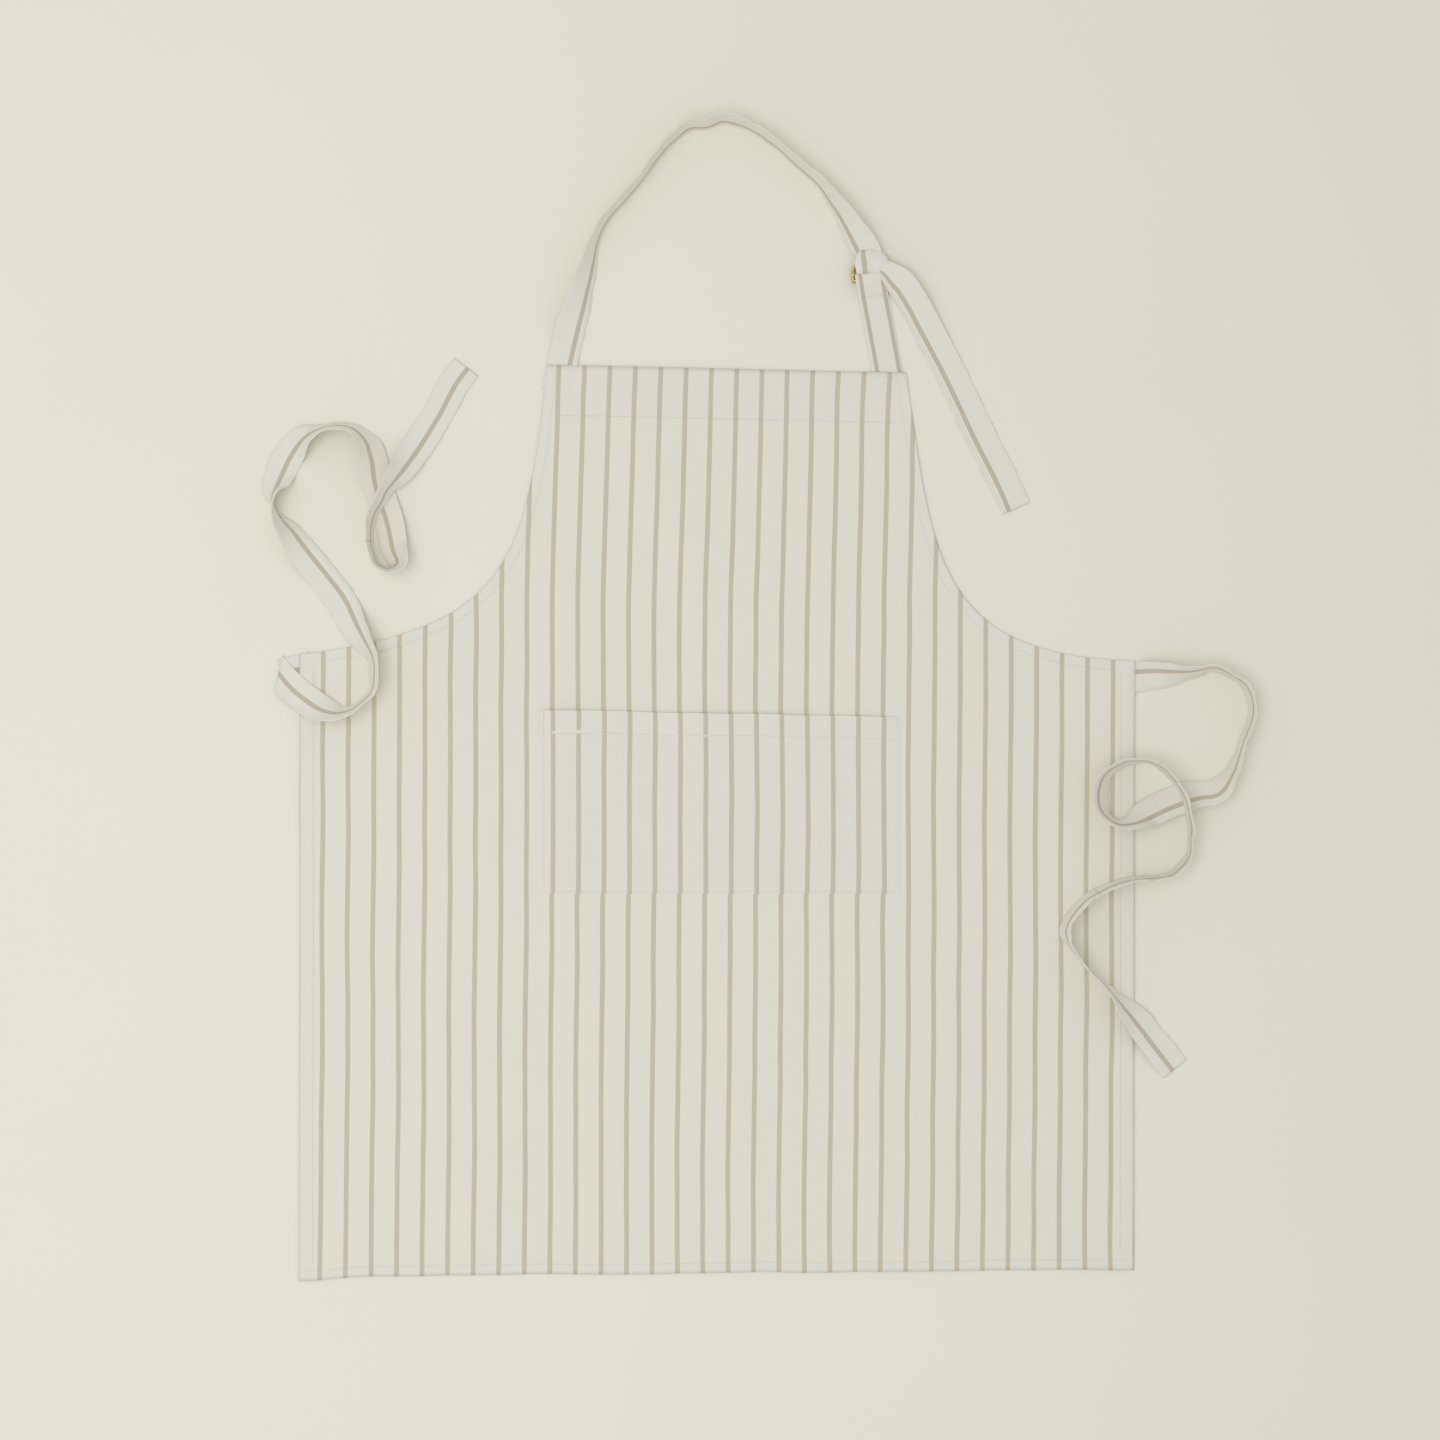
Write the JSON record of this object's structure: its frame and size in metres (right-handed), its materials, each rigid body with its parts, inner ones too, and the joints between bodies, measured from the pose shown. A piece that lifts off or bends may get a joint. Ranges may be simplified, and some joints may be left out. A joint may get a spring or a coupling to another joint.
{
  "type": "bib apron",
  "caption": "Striped cloth bib apron laid flat, with a patch pocket, an adjustable neck strap through brass D-rings and loose waist ties.",
  "frame": {"origin": "in the plane that the cloth rests on, on the skirt's centre line, level with the waist ties", "axes": "+Y up the apron to the neck, +Z out of the front face, +X to the right as seen from the front"},
  "size_m": [0.8276, 0.9738, 0.0336],
  "materials": {
    "panel_cloth": "matte plain weave, off-white with narrow taupe stripes",
    "pocket_cloth": "matte plain weave, stripes matched to the panel",
    "strap_cloth": "matte folded and sewn tape with a taupe stripe",
    "thread": "off-white cotton thread",
    "brass": "polished, slightly dulled"
  },
  "bodies": {
    "apron": {"armhole_stitch_left": "thread", "armhole_stitch_right": "thread", "bib_hem_stitch": "thread", "body_panel": "panel_cloth", "bottom_hem_stitch": "thread", "neck_strap_fold": "strap_cloth", "neck_strap_leg": "strap_cloth", "neck_strap_stitch": "thread", "pocket_hem_stitch": "thread", "pocket_panel": "pocket_cloth", "pocket_stitch_bottom": "thread", "pocket_stitch_left": "thread", "pocket_stitch_right": "thread", "pocket_tack_left": "thread", "pocket_tack_right": "thread", "ring_loop_stitch": "thread", "ring_strap": "strap_cloth", "ring_strap_stitch": "thread", "side_hem_stitch_left": "thread", "side_hem_stitch_right": "thread", "tie_stitch_left": "thread", "tie_stitch_right": "thread", "waist_tie_left_near": "strap_cloth", "waist_tie_right_near": "strap_cloth"},
    "neck_loop": {"neck_strap_arch": "strap_cloth"},
    "strap_tail": {"neck_strap_tail": "strap_cloth"},
    "tie_left": {"waist_tie_left_far": "strap_cloth"},
    "tie_left_end": {"waist_tie_left_end": "strap_cloth"},
    "tie_right": {"waist_tie_right_far": "strap_cloth"},
    "tie_right_end": {"waist_tie_right_end": "strap_cloth"},
    "ring_lower": {"d_ring_lower": "brass"},
    "ring_upper": {"d_ring_upper": "brass"}
  },
  "joints": [
    {"name": "neck_loop_lift", "type": "hinge", "parent": "apron", "child": "neck_loop", "pos_m": [0.0004, 0.31085, 0.013], "axis": [0.9498, 0.3129, 0], "range_deg": [0, 95]},
    {"name": "strap_tail_lift", "type": "hinge", "parent": "apron", "child": "strap_tail", "pos_m": [0.1536, 0.3266, 0.0185], "axis": [-0.8351, -0.5501, 0], "range_deg": [0, 80]},
    {"name": "ring_upper_swing", "type": "hinge", "parent": "apron", "child": "ring_upper", "pos_m": [0.129, 0.327, 0.0061], "axis": [0.9833, 0.1822, 0], "range_deg": [0, 5]},
    {"name": "ring_lower_swing", "type": "hinge", "parent": "apron", "child": "ring_lower", "pos_m": [0.129, 0.327, 0.0033], "axis": [0.9833, 0.1822, 0], "range_deg": [0, 5]},
    {"name": "left_tie_lift", "type": "hinge", "parent": "apron", "child": "tie_left", "pos_m": [-0.3125, -0.0385, 0.0275], "axis": [1, 0, 0], "range_deg": [0, 90]},
    {"name": "left_tie_end_lift", "type": "hinge", "parent": "tie_left", "child": "tie_left_end", "pos_m": [-0.279, 0.1385, 0.032], "axis": [1, 0, 0], "range_deg": [0, 90]},
    {"name": "right_tie_lift", "type": "hinge", "parent": "apron", "child": "tie_right", "pos_m": [0.4145, 0.0025, 0.027], "axis": [-1, 0, 0], "range_deg": [0, 90]},
    {"name": "right_tie_end_lift", "type": "hinge", "parent": "tie_right", "child": "tie_right_end", "pos_m": [0.292, -0.2175, 0.0285], "axis": [-1, 0, 0], "range_deg": [0, 90]}
  ],
  "couplings": [
    {"joint": "ring_lower_swing", "follows": "ring_upper_swing", "ratio": 1}
  ]
}
